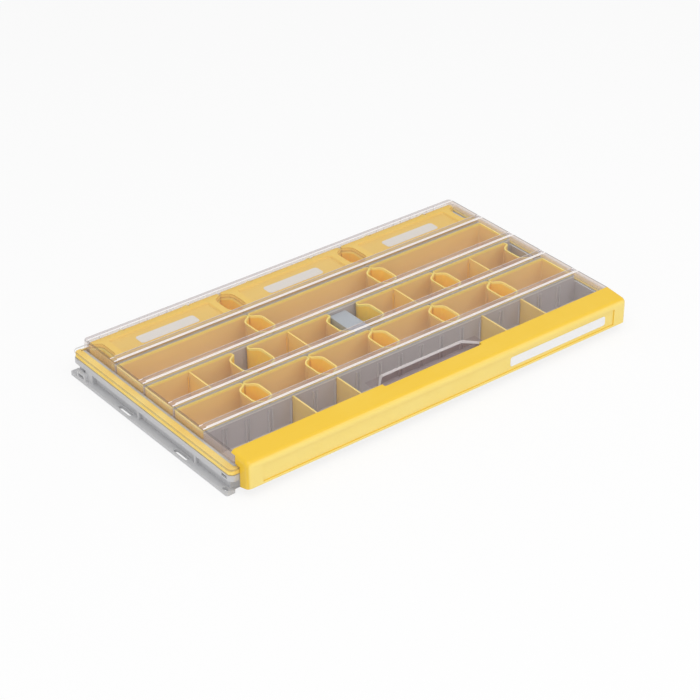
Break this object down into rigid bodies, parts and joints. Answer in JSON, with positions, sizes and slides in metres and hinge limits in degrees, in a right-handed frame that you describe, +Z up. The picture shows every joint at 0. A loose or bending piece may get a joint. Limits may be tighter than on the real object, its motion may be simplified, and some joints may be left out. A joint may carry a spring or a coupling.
{
  "type": "tackle box",
  "caption": "Thin closed tackle box with a clear hinged lid, a full-length latch bar and rows of lift-out bins, some with hinged covers.",
  "frame": {"origin": "on the table, under the middle of the closed box's bounding box", "axes": "+X along the box to the right as seen from the latch, +Y from the latch to the lid hinge, +Z up"},
  "size_m": [0.419, 0.2345, 0.0332],
  "materials": {
    "grey_plastic": "fine moulded grain",
    "clear_plastic": "clear, faintly warm",
    "yellow_rubber": "soft gasket",
    "yellow_plastic": "satin moulded",
    "bin_yellow": "satin moulded",
    "label_white": "printed film, left bare",
    "label_pale": "printed film, left bare",
    "divider_plastic": "satin moulded",
    "spacer_plastic": "fine moulded grain",
    "pin_steel": "drawn wire"
  },
  "bodies": {
    "tray": {"base_tray": "grey_plastic", "box_1": "bin_yellow", "box_2": "bin_yellow", "box_3": "bin_yellow", "long_bin_1": "bin_yellow", "long_bin_2": "bin_yellow", "long_bin_3": "bin_yellow", "split_bin_1": "bin_yellow", "split_bin_2": "bin_yellow", "split_bin_3": "bin_yellow", "split_bin_4": "bin_yellow", "bin_divider_1": "divider_plastic", "bin_divider_2": "divider_plastic", "bin_divider_3": "divider_plastic", "bin_divider_4": "divider_plastic", "spacer_block": "spacer_plastic", "short_bin_1": "bin_yellow", "short_bin_2": "bin_yellow", "short_bin_3": "bin_yellow", "short_bin_4": "bin_yellow", "short_bin_5": "bin_yellow", "short_bin_6": "bin_yellow", "row_divider_1": "divider_plastic", "row_divider_2": "divider_plastic", "row_divider_3": "divider_plastic", "row_divider_4": "divider_plastic", "lid_pin_left": "pin_steel", "lid_pin_right": "pin_steel", "latch_pin_left": "pin_steel", "latch_pin_right": "pin_steel"},
    "lid": {"lid": "clear_plastic", "seal": "yellow_rubber"},
    "latch": {"latch": "yellow_plastic", "latch_label": "label_white"},
    "cover_1": {"box_cover_1": "bin_yellow", "cover_label_1": "label_pale"},
    "cover_2": {"box_cover_2": "bin_yellow", "cover_label_2": "label_pale"},
    "cover_3": {"box_cover_3": "bin_yellow", "cover_label_3": "label_pale"}
  },
  "joints": [
    {"name": "lid_hinge", "type": "hinge", "parent": "tray", "child": "lid", "pos_m": [0, 0.11495, 0.0202], "axis": [-1, 0, 0], "range_deg": [0, 180]},
    {"name": "latch_hinge", "type": "hinge", "parent": "tray", "child": "latch", "pos_m": [0, -0.10935, 0.0082], "axis": [1, 0, 0], "range_deg": [0, 88]},
    {"name": "cover_hinge_1", "type": "hinge", "parent": "tray", "child": "cover_1", "pos_m": [-0.13053, 0.10915, 0.0262], "axis": [-1, 0, 0], "range_deg": [0, 108]},
    {"name": "cover_hinge_2", "type": "hinge", "parent": "tray", "child": "cover_2", "pos_m": [0, 0.10915, 0.0262], "axis": [-1, 0, 0], "range_deg": [0, 108]},
    {"name": "cover_hinge_3", "type": "hinge", "parent": "tray", "child": "cover_3", "pos_m": [0.13053, 0.10915, 0.0262], "axis": [-1, 0, 0], "range_deg": [0, 108]}
  ],
  "couplings": [
    {"joint": "cover_hinge_1", "follows": "lid_hinge", "ratio": 0.6},
    {"joint": "cover_hinge_2", "follows": "lid_hinge", "ratio": 0.6},
    {"joint": "cover_hinge_3", "follows": "lid_hinge", "ratio": 0.6}
  ]
}
